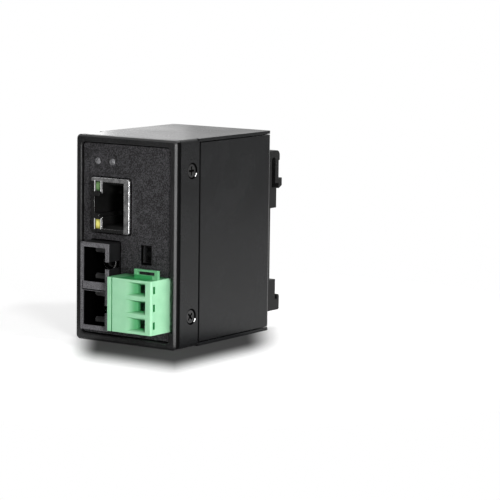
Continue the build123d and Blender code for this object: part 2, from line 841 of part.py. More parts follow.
lever_rest_x = window_x - lever_travel / 2
for index, lever_z in enumerate(lever_zs):
    with BuildPart() as lever:
        with BuildSketch(facing_front(switch_front + switch_face + lever_gap)):
            with Locations((lever_rest_x, lever_z)):
                Rectangle(lever_size, lever_size)
        extrude(amount=lever_proud + lever_gap)
        with BuildSketch(facing_front(switch_front + switch_face + lever_gap + lever_base_depth)):
            with Locations((lever_rest_x, lever_z)):
                Rectangle(lever_base_length, lever_base_height)
        extrude(amount=lever_base_depth)
    save(lever, f"dip_lever_{index + 1}")

# Small board that carries the switch, standing on the power board
switch_pin_x = (switch_width / 2 + chamber_half) / 2
with BuildPart() as switch_board:
    with BuildSketch(facing_front(switch_rear + switch_board_thickness)):
        board_left = window_x - switch_width / 2
        with Locations(((board_left + power_x[0]) / 2, window_z)):
            Rectangle(power_x[0] - board_left, switch_board_height)
        with Locations(*[(window_x + side * switch_pin_x, z) for side in (-1, 1) for z in lever_zs]):
            Rectangle(switch_pin + 2 * hole_gap, switch_pin + 2 * hole_gap, mode=Mode.SUBTRACT)
    extrude(amount=switch_board_thickness)
save(switch_board, "switch_board")

# Terminal plug: one moulding with wire funnels, screw holes, clamp chambers and a loop on its top end
plug_right = plug_left + plug_width
block_rear = plug_front + block_depth
mating_rear = block_rear + mating_length
mating_right = plug_right - mating_from_right
mating_x = mating_right - mating_width / 2
entry_x = plug_left + entry_left + entry_width / 2
funnel_x = plug_left + (funnel_left + funnel_right) / 2
funnel_step = (funnel_height - entry_height) / 2
clamp_y = plug_front + cage_chamber_front + cage_chamber_depth / 2
with BuildPart() as terminal_plug:
    with BuildSketch(Plane.XY.offset(plug_z - plug_height / 2)):
        with BuildLine():
            Polyline((plug_left, plug_front), (plug_left + groove_from_left, plug_front),
                     (plug_left + groove_from_left, plug_front + groove_depth),
                     (plug_left + groove_from_left + groove_width, plug_front + groove_depth),
                     (plug_left + groove_from_left + groove_width, plug_front),
                     (plug_right, plug_front), (plug_right, block_rear),
                     (plug_left, block_rear), close=True)
        make_face()
    extrude(amount=plug_height)
    front_corner = terminal_plug.edges().filter_by(Axis.Z).sort_by_distance((plug_right, plug_front, plug_z))[0]
    fillet(front_corner, plug_edge)
    with BuildSketch(facing_front(mating_rear)):
        with Locations((mating_x, plug_z)):
            Rectangle(mating_width, mating_height)
    extrude(amount=mating_length)
    for pole_z in pole_zs:
        with Locations((funnel_x, plug_front + funnel_depth / 2, pole_z)):
            Wedge(funnel_right - funnel_left, funnel_depth, funnel_height,
                  entry_left - funnel_left, funnel_step, entry_left - funnel_left + entry_width,
                  funnel_step + entry_height, mode=Mode.SUBTRACT)
        bar(span(entry_x, entry_width), (plug_front + funnel_depth, plug_front + funnel_depth + entry_depth),
            span(pole_z, entry_height), mode=Mode.SUBTRACT)
        bar((plug_left + cage_chamber_left, plug_left + cage_chamber_right), span(clamp_y, cage_chamber_depth),
            span(pole_z, cage_chamber_height), mode=Mode.SUBTRACT)
        with BuildSketch(facing_left(plug_left)):
            with Locations((-clamp_y, pole_z)):
                Circle(clamp_hole_radius)
        extrude(amount=-cage_chamber_left, mode=Mode.SUBTRACT)
        bar((plug_right - test_slot_depth, plug_right + overrun),
            (plug_front + test_slot_setback, plug_front + test_slot_setback + test_slot_width),
            span(pole_z, test_slot_height), mode=Mode.SUBTRACT)
        plate_x = (plug_left + plate_left - seat_gap, plug_left + plate_left + plate_thickness + seat_gap)
        bar(plate_x, (clamp_y, plug_front + socket_start), span(pole_z, plate_height + 2 * seat_gap),
            mode=Mode.SUBTRACT)
        bar((plate_x[0], plate_x[0] + socket_width + 2 * seat_gap), (plug_front + socket_start, mating_rear),
            span(pole_z, socket_height + 2 * seat_gap), mode=Mode.SUBTRACT)
    loop_front = plug_front + loop_setback
    loop_x = plug_right - loop_width / 2
    with BuildSketch(facing_front(loop_front + loop_thickness)):
        with Locations((loop_x, plug_top + loop_height / 2)):
            Rectangle(loop_width, loop_height)
        with Locations((loop_x, plug_top + (loop_sill + loop_height - loop_bar) / 2)):
            Rectangle(loop_width - 2 * loop_side, loop_height - loop_bar - loop_sill, mode=Mode.SUBTRACT)
    extrude(amount=loop_thickness)
save(terminal_plug, "terminal_plug")

# Clamp of each pole: slotted screw, rising cage
for index, pole_z in enumerate(pole_zs):
    with BuildPart() as clamp_screw:
        with BuildSketch(facing_left(plug_left + clamp_head_sink)):
            with Locations((-clamp_y, pole_z)):
                Circle(clamp_head_radius)
        extrude(amount=-clamp_head_height)
        with BuildSketch(facing_left(plug_left + clamp_head_sink + clamp_head_height)):
            with Locations((-clamp_y, pole_z)):
                Circle(clamp_radius)
        extrude(amount=clamp_head_height - clamp_length)
        bar((plug_left, plug_left + clamp_head_sink + clamp_slot_depth), span(clamp_y, clamp_slot_width),
            span(pole_z, clamp_head_radius * 2 + overrun), mode=Mode.SUBTRACT)
    save(clamp_screw, f"clamp_screw_{index + 1}")
    with BuildPart() as clamp_cage:
        cage_x = (plug_left + cage_left, plug_left + cage_left + cage_width)
        bar(cage_x, span(clamp_y, cage_depth), span(pole_z, cage_height))
        bar((cage_x[0] + cage_nut, cage_x[1] - cage_wall), span(clamp_y, cage_depth),
            span(pole_z, cage_height - 2 * edge_gap), mode=Mode.SUBTRACT)
        with Locations(facing_left(cage_x[0], clamp_y, pole_z).location):
            Hole(radius=clamp_radius + seat_gap, depth=cage_nut)
    save(clamp_cage, f"clamp_cage_{index + 1}")

# Contacts of the plug: a tongue through each cage that ends in a socket
with BuildPart() as plug_contacts:
    for pole_z in pole_zs:
        tongue_x = (plug_left + plate_left, plug_left + plate_left + plate_thickness)
        socket_x = (tongue_x[0], tongue_x[0] + socket_width)
        bar(tongue_x, (clamp_y - cage_depth / 2, plug_front + socket_start), span(pole_z, plate_height))
        bar(socket_x, (plug_front + socket_start, plug_front + socket_start + socket_length),
            span(pole_z, socket_height))
        bore_y = (plug_front + socket_start + plate_thickness, mating_rear)
        bar(span(sum(socket_x) / 2, socket_bore), bore_y, span(pole_z, socket_bore), mode=Mode.SUBTRACT)
save(plug_contacts, "plug_contacts")

# Header: open-fronted shroud whose floor carries three bent pins
header_x = span(mating_x, mating_width + 2 * header_gap)
header_z = span(plug_z, mating_height + 2 * header_gap)
header_front = block_rear + header_front_gap
header_inner = mating_rear + header_gap
header_rear = header_inner + header_floor
pin_x = plug_left + plate_left + socket_width / 2
pin_bend_y = header_rear + header_pin_run
with BuildPart() as terminal_header:
    bar((header_x[0] - header_wall, header_x[1] + header_wall), (header_front, header_rear),
        (header_z[0] - header_wall, header_z[1] + header_wall))
    bar(header_x, (header_front - overrun, header_inner), header_z, mode=Mode.SUBTRACT)
    fillet(terminal_header.edges().filter_by(Axis.Y).group_by(Axis.X)[0], header_edge)
    for pole_z in pole_zs:
        bar(span(pin_x, header_pin + 2 * seat_gap), (header_inner, header_rear),
            span(pole_z, header_pin + 2 * seat_gap), mode=Mode.SUBTRACT)
    foot_x = (header_x[1] - header_wall, power_x[0])
    foot_y = (behind(frame_depth + lug_length) + edge_gap, header_rear + header_foot)
    for foot_low in (header_z[0] - header_wall, header_z[1] + header_wall - header_foot_height):
        bar(foot_x, foot_y, (foot_low, foot_low + header_foot_height))
save(terminal_header, "terminal_header")

with BuildPart() as header_pins:
    for pole_z in pole_zs:
        with BuildSketch(Plane.XY.offset(pole_z - header_pin / 2)):
            with BuildLine():
                FilletPolyline((pin_x, plug_front + socket_start + header_pin_tip), (pin_x, pin_bend_y),
                               (power_x[1] + header_pin_stub, pin_bend_y), radius=header_pin)
            trace(line_width=header_pin)
        extrude(amount=header_pin)
save(header_pins, "header_pins")

# Boards, with their holes at the pins and snap pegs
board_low = sheet + board_from_plate
board_high = from_top(board_low)
power_board_top = from_top(power_board_drop)
power_step_y = behind(frame_depth + lug_length + power_step_behind_lug)
power_step_z = header_z[1] + header_wall + power_step_above_header
post_zs = (board_low + post_from_end, board_high - post_from_end)
post_ys = (behind(board_front + post_from_front), board_rear - post_from_rear)
post_places = [(post_ys[0], post_zs[1]), (post_ys[1], post_zs[1]), (post_ys[1], post_zs[0])]
spacer_places = [(post_ys[1], post_zs[0] + post_flat + part_gap), (post_ys[1], fibre_top + spacer_above_fibre)]
link_size = (link_columns * link_pitch, link_rows * link_pitch)
link_y = board_rear - link_from_rear
link_z = fibre_top + link_above_fibre + link_size[1] / 2
link_pins_at = [(link_y + (column - (link_columns - 1) / 2) * link_pitch,
                 link_z + (row - (link_rows - 1) / 2) * link_pitch)
                for row in range(link_rows) for column in range(link_columns)]
snap_hole = snap_width + 2 * seat_gap
with BuildPart() as main_board:
    with BuildSketch(facing_right(main_board_x[0])):
        with Locations(((behind(board_front) + board_rear) / 2, case_height / 2)):
            Rectangle(board_length, board_high - board_low)
        with Locations(*[(fibre_pin_y, z) for z in fibre_pin_zs]):
            Rectangle(fibre_pin + 2 * hole_gap, fibre_pin + 2 * hole_gap, mode=Mode.SUBTRACT)
        with Locations(*post_places, *spacer_places):
            Rectangle(snap_hole, snap_hole, mode=Mode.SUBTRACT)
    extrude(amount=board_thickness)
save(main_board, "main_board")

with BuildPart() as power_board:
    with BuildSketch(facing_right(power_x[0])):
        with BuildLine():
            Polyline((power_step_y, board_low), (board_rear, board_low),
                     (board_rear, power_board_top), (behind(board_front), power_board_top),
                     (behind(board_front), power_step_z), (power_step_y, power_step_z), close=True)
        make_face()
        with Locations(*[(pin_bend_y, z) for z in pole_zs]):
            Rectangle(header_pin + 2 * seat_gap, header_pin + 2 * seat_gap, mode=Mode.SUBTRACT)
        with Locations(*spacer_places):
            Rectangle(snap_hole, snap_hole, mode=Mode.SUBTRACT)
        with Locations(*link_pins_at):
            Rectangle(link_pin + 2 * hole_gap, link_pin + 2 * hole_gap, mode=Mode.SUBTRACT)
    extrude(amount=power_board_thickness)
save(power_board, "power_board")

# Posts clinched into the left wall, with pegs through the main board that end in barbs
with BuildPart() as board_posts:
    with BuildSketch(facing_right(-wall_inner_x)):
        with Locations(*post_places):
            RegularPolygon(post_flat / 2, 6, major_radius=False)
    extrude(amount=main_board_x[0] + wall_inner_x)
    barb_x = main_board_x[1] + seat_gap
    with BuildSketch(facing_right(main_board_x[0])):
        with Locations(*post_places):
            Rectangle(snap_width, snap_width)
    extrude(amount=barb_x - main_board_x[0])
    for place in post_places:
        with BuildSketch(facing_right(barb_x)):
            with Locations(place):
                Rectangle(snap_width, snap_width + 2 * snap_barb)
        with BuildSketch(facing_right(barb_x + snap_height)):
            with Locations(place):
                Rectangle(snap_width, snap_width - snap_barb)
        loft(ruled=True)
save(board_posts, "board_posts")

# Spacers that hold the boards apart, pegged into both
with BuildPart() as board_spacers:
    with BuildSketch(facing_right(main_board_x[1])):
        with Locations(*spacer_places):
            RegularPolygon(post_flat / 2, 6, major_radius=False)
    extrude(amount=power_x[0] - main_board_x[1])
    with BuildSketch(facing_right(main_board_x[0])):
        with Locations(*spacer_places):
            Rectangle(snap_width, snap_width)
    extrude(amount=board_thickness)
    with BuildSketch(facing_right(power_x[0])):
        with Locations(*spacer_places):
            Rectangle(snap_width, snap_width)
    extrude(amount=power_board_thickness)
save(board_spacers, "board_spacers")

# Status lamps with domed ends, and the holder they stand in
with BuildPart() as led_holder:
    with BuildSketch(facing_front(behind(holder_front + holder_depth))):
        with Locations((main_board_x[1] + holder_width / 2, status_z)):
            Rectangle(holder_width, holder_height)
        with Locations(*[(x, status_z) for x in status_xs]):
            Circle(status_radius + seat_gap, mode=Mode.SUBTRACT)
    extrude(amount=holder_depth)
save(led_holder, "led_holder")

for lamp_name, status_x in zip(("status_led_link", "status_led_power"), status_xs):
    with BuildPart() as status_lamp:
        with BuildSketch(facing_front(behind(status_rear))):
            with Locations((status_x, status_z)):
                Circle(status_radius)
        extrude(amount=status_rear - status_tip)
        chamfer(status_lamp.edges().filter_by(GeomType.CIRCLE).sort_by(Axis.Y)[0], status_dome)
    save(status_lamp, lamp_name)


def on_main(y, z, size):
    """Block standing on the inner face of the main board."""
    bar((main_board_x[1], main_board_x[1] + size[2]), span(y, size[0]), span(z, size[1]))


def on_power(y, z, size):
    """Block standing on the inner face of the power board."""
    bar((power_x[0] - size[2], power_x[0]), span(y, size[0]), span(z, size[1]))


transformer_y = jack_rear + transformer_behind_jack + transformer_size[0] / 2
transformer_z = link_z + link_size[1] / 2 + part_gap + transformer_size[1] / 2
with BuildPart() as lan_transformer:
    on_main(transformer_y, transformer_z, transformer_size)
    chamfer(lan_transformer.faces().sort_by(Axis.X)[-1].edges(), part_edge)
save(lan_transformer, "lan_transformer")

chip_y = jack_rear + transformer_behind_jack + chip_size[0] / 2
chip_z = transformer_z + transformer_size[1] / 2 + part_gap + chip_lead_reach + chip_size[1] / 2
with BuildPart() as media_chip:
    on_main(chip_y, chip_z, chip_size)
    lead_pitch = (chip_size[0] - 2 * chip_lead_reach) / (chip_leads_per_side - 1)
    with BuildSketch(facing_right(main_board_x[1])):
        for index in range(chip_leads_per_side):
            step = (index - (chip_leads_per_side - 1) / 2) * lead_pitch
            with Locations((chip_y + step, chip_z)):
                Rectangle(chip_lead_width, chip_size[1] + 2 * chip_lead_reach)
            with Locations((chip_y, chip_z + step)):
                Rectangle(chip_size[0] + 2 * chip_lead_reach, chip_lead_width)
    extrude(amount=chip_lead_thickness)
save(media_chip, "media_chip")

crystal_z = spacer_places[1][1] + post_flat / 2 + part_gap + crystal_size[1] / 2
with BuildPart() as crystal:
    with BuildSketch(facing_right(main_board_x[1])):
        with Locations((board_rear - crystal_from_rear - crystal_size[0] / 2, crystal_z)):
            SlotOverall(crystal_size[1], crystal_size[0], rotation=90)
    extrude(amount=crystal_size[2])
save(crystal, "crystal")

capacitor_ys = [behind(board_front + capacitor_from_front) + index * capacitor_spacing for index in (0, 1)]
capacitor_z = power_board_top - capacitor_below_top
with BuildPart() as capacitors:
    for capacitor_y in capacitor_ys:
        on_power(capacitor_y, capacitor_z, (capacitor_base, capacitor_base, capacitor_base_rise))
    with BuildSketch(facing_left(power_x[0] - capacitor_base_rise)):
        with Locations(*[(-y, capacitor_z) for y in capacitor_ys]):
            Circle(capacitor_radius)
    extrude(amount=capacitor_rise - capacitor_base_rise)
save(capacitors, "capacitors")

with BuildPart() as bulk_capacitor:
    with BuildSketch(facing_left(power_x[0])):
        with Locations((bulk_from_rear - board_rear, board_low + bulk_from_low)):
            Circle(bulk_radius)
    extrude(amount=bulk_rise)
save(bulk_capacitor, "bulk_capacitor")

inductor_y = power_step_y + inductor_from_step
inductor_z = link_z - link_size[1] / 2 - inductor_below_link
with BuildPart() as power_inductor:
    on_power(inductor_y, inductor_z, inductor_size)
    chamfer(power_inductor.edges().filter_by(Axis.X), inductor_corner)
save(power_inductor, "power_inductor")

regulator_y = inductor_y + inductor_size[0] / 2 + regulator_gap + regulator_size[0] / 2
with BuildPart() as power_regulator:
    on_power(regulator_y, inductor_z, regulator_size)
save(power_regulator, "power_regulator")

with BuildPart() as surge_diode:
    on_power(power_step_y + diode_from_step, plug_z, diode_size)
    chamfer(surge_diode.faces().sort_by(Axis.X)[0].edges(), part_edge)
save(surge_diode, "surge_diode")

# Link between the boards: socket, header strip and its long pins
with BuildPart() as link_socket:
    on_main(link_y, link_z, (*link_size, link_socket_rise))
    with BuildSketch(facing_right(main_board_x[1] + link_socket_rise)):
        with Locations(*link_pins_at):
            Rectangle(link_pin + 2 * hole_gap, link_pin + 2 * hole_gap)
    extrude(amount=-link_pin_reach - hole_gap, mode=Mode.SUBTRACT)
save(link_socket, "link_socket")

with BuildPart() as link_header:
    on_power(link_y, link_z, (*link_size, link_header_rise))
    with BuildSketch(facing_left(power_x[0])):
        with Locations(*[(-y, z) for y, z in link_pins_at]):
            Rectangle(link_pin + 2 * seat_gap, link_pin + 2 * seat_gap)
    extrude(amount=link_header_rise, mode=Mode.SUBTRACT)
save(link_header, "link_header")

with BuildPart() as link_pins:
    link_pin_start = main_board_x[1] + link_socket_rise - link_pin_reach
    with BuildSketch(facing_right(link_pin_start)):
        with Locations(*link_pins_at):
            Rectangle(link_pin, link_pin)
    extrude(amount=power_x[1] + link_pin_stub - link_pin_start)
save(link_pins, "link_pins")

# Pins that hold the switch to its board
with BuildPart() as dip_pins:
    with BuildSketch(facing_front(switch_rear + switch_board_thickness + pin_stub)):
        with Locations(*[(window_x + side * switch_pin_x, z) for side in (-1, 1) for z in lever_zs]):
            Rectangle(switch_pin, switch_pin)
    extrude(amount=switch_board_thickness + pin_stub)
save(dip_pins, "dip_pins")
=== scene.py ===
import json
import math

import bpy
from mathutils import Matrix, Vector


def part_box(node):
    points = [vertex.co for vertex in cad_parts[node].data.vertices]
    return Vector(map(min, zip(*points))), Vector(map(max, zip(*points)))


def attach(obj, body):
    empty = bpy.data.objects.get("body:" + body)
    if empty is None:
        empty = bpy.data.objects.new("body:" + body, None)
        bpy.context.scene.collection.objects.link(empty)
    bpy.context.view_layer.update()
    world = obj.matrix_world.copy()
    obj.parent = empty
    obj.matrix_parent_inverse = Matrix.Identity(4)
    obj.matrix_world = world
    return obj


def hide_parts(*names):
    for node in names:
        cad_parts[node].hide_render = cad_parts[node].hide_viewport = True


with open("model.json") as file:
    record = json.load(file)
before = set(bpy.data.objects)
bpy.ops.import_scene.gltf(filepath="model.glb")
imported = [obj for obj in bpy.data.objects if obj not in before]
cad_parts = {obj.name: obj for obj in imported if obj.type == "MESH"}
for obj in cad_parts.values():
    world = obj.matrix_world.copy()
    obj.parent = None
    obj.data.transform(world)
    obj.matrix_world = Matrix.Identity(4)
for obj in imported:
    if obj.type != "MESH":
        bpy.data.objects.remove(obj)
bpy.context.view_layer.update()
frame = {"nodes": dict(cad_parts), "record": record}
MM = 0.001

slot_of = {piece["node"]: piece["material_slot"] for piece in frame["record"]["subparts"]}
body_of = {node: body for body, members in frame["record"]["behaviour"]["bodies"].items()
           for node in members}

HEAD_RADIUS = 2.6 * MM
screws_low, screws_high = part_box("case_screws")
screw_y = (screws_low.y + screws_high.y) / 2
screw_zs = (screws_low.z + HEAD_RADIUS, screws_high.z - HEAD_RADIUS)


# Finishes -------------------------------------------------------------------------------------


class Level:
    """A number that varies over a surface. Python's arithmetic on it adds the Math nodes."""

    def __init__(self, mix, socket):
        self.mix, self.socket = mix, socket

    def maths(self, operation, first, second):
        return self.mix.node("ShaderNodeMath", {"operation": operation}, {0: first, 1: second})

    def __add__(self, other):
        return self.maths("ADD", self, other)

    def __radd__(self, other):
        return self.maths("ADD", other, self)

    def __sub__(self, other):
        return self.maths("SUBTRACT", self, other)

    def __rsub__(self, other):
        return self.maths("SUBTRACT", other, self)

    def __mul__(self, other):
        return self.maths("MULTIPLY", self, other)

    def __rmul__(self, other):
        return self.maths("MULTIPLY", other, self)

    def most(self, other):
        return self.maths("MAXIMUM", self, other)


class Mix:
    """A node tree that a finish, the floor, a card or the sky is mixed in."""

    def __init__(self, tree):
        self.tree = tree

    def node(self, kind, settings=None, sockets=None, take=0):
        """Adds a node, sets it, feeds its sockets and gives one of its outputs."""
        made = self.tree.nodes.new(kind)
        for name, value in (settings or {}).items():
            setattr(made, name, value)
        for name, value in (sockets or {}).items():
            self.feed(made.inputs[name], value)
        return Level(self, made.outputs[take]) if made.outputs else None

    def feed(self, socket, value):
        """Links a level to a socket, or writes a plain value there."""
        if isinstance(value, Level):
            self.tree.links.new(value.socket, socket)
        elif socket.type == "RGBA" and len(value) == 3:
            socket.default_value = (*value, 1)
        else:
            socket.default_value = value

    def vectors(self, operation, *values, take=0):
        return self.node("ShaderNodeVectorMath", {"operation": operation},
                         dict(enumerate(values)), take)

    def place(self, scale=(1, 1, 1), centre=(0, 0, 0)):
        """The piece's own coordinates, stretched by scale about a point."""
        spot = self.node("ShaderNodeTexCoord", take="Object")
        if scale == (1, 1, 1) and centre == (0, 0, 0):
            return spot
        shift = [-c * s for c, s in zip(centre, scale)]
        return self.node("ShaderNodeMapping",
                         sockets={"Vector": spot, "Scale": scale, "Location": shift})

    def axis(self, letter):
        return self.node("ShaderNodeSeparateXYZ", sockets={"Vector": self.place()}, take=letter)

    def distance(self, centre=(0, 0, 0), scale=(1, 1, 1)):
        """Distance from a point. An axis whose scale is 0 doesn't count."""
        return self.vectors("LENGTH", self.place(scale, centre), take="Value")

    def grain(self, size, detail=2.0, stretch=(1, 1, 1), rough=0.5):
        """Noise from 0 to 1 whose lumps are about size metres across."""
        return self.node("ShaderNodeTexNoise",
                         sockets={"Vector": self.place(stretch), "Scale": 1 / size,
                                  "Detail": detail, "Roughness": rough})

    def cells(self, size):
        """Distance, in shares of size, to the nearest of points about size metres apart."""
        return self.node("ShaderNodeTexVoronoi",
                         sockets={"Vector": self.place(), "Scale": 1 / size}, take="Distance")

    def spread(self, level, low, high, start=0.3, end=0.7):
        """Takes a level between start and end to one between low and high."""
        return self.node("ShaderNodeMapRange", {"interpolation_type": "SMOOTHSTEP"},
                         {"Value": level, "From Min": start, "From Max": end,
                          "To Min": low, "To Max": high})

    def after(self, letter, start, end):
        """0 up to start and 1 from end on, along an axis."""
        return self.spread(self.axis(letter), 0, 1, start, end)

    def before(self, letter, start, end):
        """1 up to start and 0 from end on, along an axis."""
        return self.spread(self.axis(letter), 1, 0, start, end)

    def inside(self, soft=0.05 * MM, **spans):
        """1 inside a box given by its spans, falling to 0 over the soft distance outside it."""
        share = 1
        for letter, (start, end) in spans.items():
            share *= self.after(letter, start - soft, start) * self.before(letter, end, end + soft)
        return share

    def from_outline(self, node, corner):
        """Distance from the core of a node's front outline, which itself lies at corner."""
        low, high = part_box(node)
        half = (high - low) / 2
        away = self.vectors("ABSOLUTE", self.place(centre=(low + high) / 2))
        past = self.vectors("SUBTRACT", away, (half.x - corner, 1, half.z - corner))
        return self.vectors("LENGTH", self.vectors("MAXIMUM", past, (0, 0, 0)), take="Value")

    def blend(self, share, first, second):
        """The first colour where share is 0, the second where it is 1."""
        return self.node("ShaderNodeMix", {"data_type": "RGBA"},
                         {0: share, 6: first, 7: second}, take=2)

    def relief(self, height, depth, under=None):
        """A bump of depth metres over the height's whole range."""
        sockets = {"Height": height, "Strength": 1.0, "Distance": depth}
        if under is not None:
            sockets["Normal"] = under
        return self.node("ShaderNodeBump", sockets=sockets)

    def background_rays(self):
        """1 for rays that meet the white background: the camera's, mirrored and passed ones."""
        camera, glossy, passed = [self.node("ShaderNodeLightPath", take=f"Is {kind} Ray")
                                  for kind in ("Camera", "Glossy", "Transmission")]
        return camera.most(glossy).most(passed)


class Finish(Mix):
    """A material with one main shader. Constants go straight onto its sockets."""

    def __init__(self, name, **constants):
        self.material = bpy.data.materials.new(name)
        self.material.use_nodes = True
        super().__init__(self.material.node_tree)
        self.shader = self.tree.nodes["Principled BSDF"]
        for socket, value in constants.items():
            self.feed(self.shader.inputs[socket.replace("_", " ")], value)

    def colour(self, value):
        self.feed(self.shader.inputs["Base Color"], value)

    def metallic(self, value):
        self.feed(self.shader.inputs["Metallic"], value)

    def roughness(self, value):
        self.feed(self.shader.inputs["Roughness"], value)

    def normal(self, value):
        self.feed(self.shader.inputs["Normal"], value)

    def glow(self, value, strength):
        self.feed(self.shader.inputs["Emission Color"], value)
        self.shader.inputs["Emission Strength"].default_value = strength

    def paint_shade(self, share, level=0.002):
        """Paints shade: turns to bare matt black where share is 1, standing in for the shade in
        grooves that light hardly reaches.
        """
        bare = self.node("ShaderNodeBsdfDiffuse", sockets={"Color": grey(level)}, take="BSDF")
        main = Level(self, self.shader.outputs["BSDF"])
        both = self.node("ShaderNodeMixShader", sockets={0: share, 1: main, 2: bare})
        self.feed(self.tree.nodes["Material Output"].inputs["Surface"], both)


def grey(level, tint=(1, 1, 1)):
    return tuple(level * t for t in tint)


def cast_paint():
    """Fine textured black paint on the cast front frame, with painted shade, matt black, on the
    sides of the step behind its lip.
    """
    f = Finish("cast_paint", Specular_IOR_Level=0.45)
    lumps = f.grain(0.26 * MM, 3.0)
    haze = f.grain(9 * MM)
    tone = f.spread(lumps * 0.75 + haze * 0.25, 0, 1, 0.38, 0.64)
    f.colour(f.blend(tone, grey(0.004, (1, 1, 1.05)), grey(0.022, (1, 1, 1.04))))
    f.roughness(f.spread(lumps, 0.34, 0.48))
    f.normal(f.relief(lumps, 0.02 * MM, f.relief(f.grain(1.4 * MM, 1.0), 0.02 * MM)))

    low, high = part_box("front_bezel")
    lip = low.y + 0.82 * MM
    shallow, deep = 0.29 * MM, 0.34 * MM
    sides = (f.before("X", low.x + shallow, low.x + deep)
             + f.after("X", high.x - deep, high.x - shallow))
    # Painted shade: the sides of the step behind the lip are painted matt black.
    f.paint_shade(f.after("Y", lip, lip + 0.06 * MM) * sides)
    return f.material


def panel_film():
    """Pebbled dark film on the front panel, with painted shade, matt black, a little inside its
    edge and round its openings and the switch window.
    """
    f = Finish("panel_film", Specular_IOR_Level=0.36)
    pebbles = f.grain(0.27 * MM, rough=0.6)
    cloud = f.grain(2.2 * MM, 3.0)
    tone = f.spread(pebbles * 0.85 + cloud * 0.15, 0, 1, 0.42, 0.62)
    f.colour(f.blend(tone, grey(0.005, (1, 0.98, 1.06)), grey(0.066, (1, 0.97, 1.05))))
    f.roughness(f.spread(pebbles, 0.5, 0.7))
    f.normal(f.relief(pebbles, 0.035 * MM))

    panel_corner, edge_shade_width = 1.25 * MM, 0.36 * MM
    edge = f.from_outline("front_panel", panel_corner)
    painted_edge_shade = f.spread(edge, 0, 1, panel_corner - edge_shade_width, panel_corner - edge_shade_width + 0.10 * MM)
    for node, corner, opening_shade_width in (("rj45_shield", 0.8 * MM, 0.24 * MM),
                              ("sc_housing", 0.35 * MM, 0.34 * MM)):
        opening = f.from_outline(node, corner)
        painted_edge_shade = painted_edge_shade.most(f.spread(opening, 1, 0, corner + opening_shade_width, corner + opening_shade_width + 0.12 * MM))
    low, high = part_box("dip_lever_1")[0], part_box("dip_lever_2")[1]
    rim, right_rim = 0.4 * MM, 1.1 * MM
    painted_edge_shade = painted_edge_shade.most(f.inside(X=(low.x - rim, high.x + right_rim), Z=(low.z - 2 * rim, high.z + rim)))
    # Painted shade: the film turns matt black along its edge, round the openings and round the
    # switch window.
    f.paint_shade(painted_edge_shade)
    return f.material


def powder_coat():
    """Satin powder coat with its faint orange peel, with painted shade in the countersinks and the
    slits and a painted glint of bare metal low in each countersink.
    """
    base = 0.009
    f = Finish("powder_coat", Specular_IOR_Level=0.22)
    peel = f.grain(0.9 * MM)
    dust = f.grain(0.16 * MM)
    cloud = f.grain(16 * MM)
    coat_colour = f.blend(f.spread(cloud * 0.6 + dust * 0.4, 0, 1),
                          grey(base * 0.84, (0.98, 1, 1.05)), grey(base * 1.2, (0.98, 1.02, 1.08)))
    f.roughness(f.spread(cloud * 0.7 + dust * 0.3, 0.22, 0.30))
    f.normal(f.relief(dust, 0.0022 * MM, f.relief(peel, 0.006 * MM)))

    low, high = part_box("chassis")
    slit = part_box("front_bezel")[0].y + 11.3 * MM
    # Painted shade: the slits behind the front strip are painted matt black.
    painted_shade_share = f.inside(Y=(slit, slit + 0.75 * MM), Z=(low.z + MM, high.z - MM))
    sink, rim = 2.32 * MM, 2.12 * MM
    bare = 0
    for z in screw_zs:
        away = f.distance((0, screw_y, z), (0, 1, 1))
        # Painted shade: the countersink round each head is painted matt black, apart from the glint
        # crescent.
        countersink = f.spread(away, 1, 0, sink, sink + 0.06 * MM)
        # Painted highlight: a white bare-metal crescent placed low in each countersink, where the
        # glint falls.
        painted_glint_crescent = f.inside(0.15 * MM, Y=(screw_y + 1.4 * MM, screw_y + 3 * MM),
                            Z=(z - 1.6 * MM, z - 0.8 * MM))
        painted_glint_crescent = painted_glint_crescent * countersink * f.spread(away, 0, 1, rim, rim + 0.04 * MM)
        painted_shade_share = painted_shade_share.most(countersink * (1 - painted_glint_crescent))
        bare += painted_glint_crescent
    f.colour(f.blend(bare, coat_colour, grey(0.85)))
    f.metallic(bare)
    f.paint_shade(painted_shade_share)
    return f.material


def moulding(name, low, high, rough, grain=0.12, depth=0.004, specular=0.5):
    """Moulded plastic: faint flow clouding, fine spark texture from the tool."""
    f = Finish(name, Specular_IOR_Level=specular)
    spark = f.grain(grain * MM)
    flow = f.grain(5 * MM, 3.0)
    f.colour(f.blend(f.spread(flow * 0.65 + spark * 0.35, 0, 1), low, high))
    f.roughness(f.spread(spark * 0.5 + flow * 0.5, *rough))
    f.normal(f.relief(spark, depth * MM))
    return f.material


def metal(name, low, high, rough, stretch=(1, 1, 0.06), size=0.12):
    """Plated metal with fine rolling lines and faint tarnish."""
    f = Finish(name, Metallic=1.0)
    lines = f.grain(size * MM, 3.0, stretch)
    tarnish = f.grain(2.4 * MM, 3.0)
    f.colour(f.blend(f.spread(tarnish, 0, 1), low, high))
    f.roughness(f.spread(lines * 0.6 + tarnish * 0.4, *rough))
    f.normal(f.relief(lines, 0.0016 * MM))
    return f.material


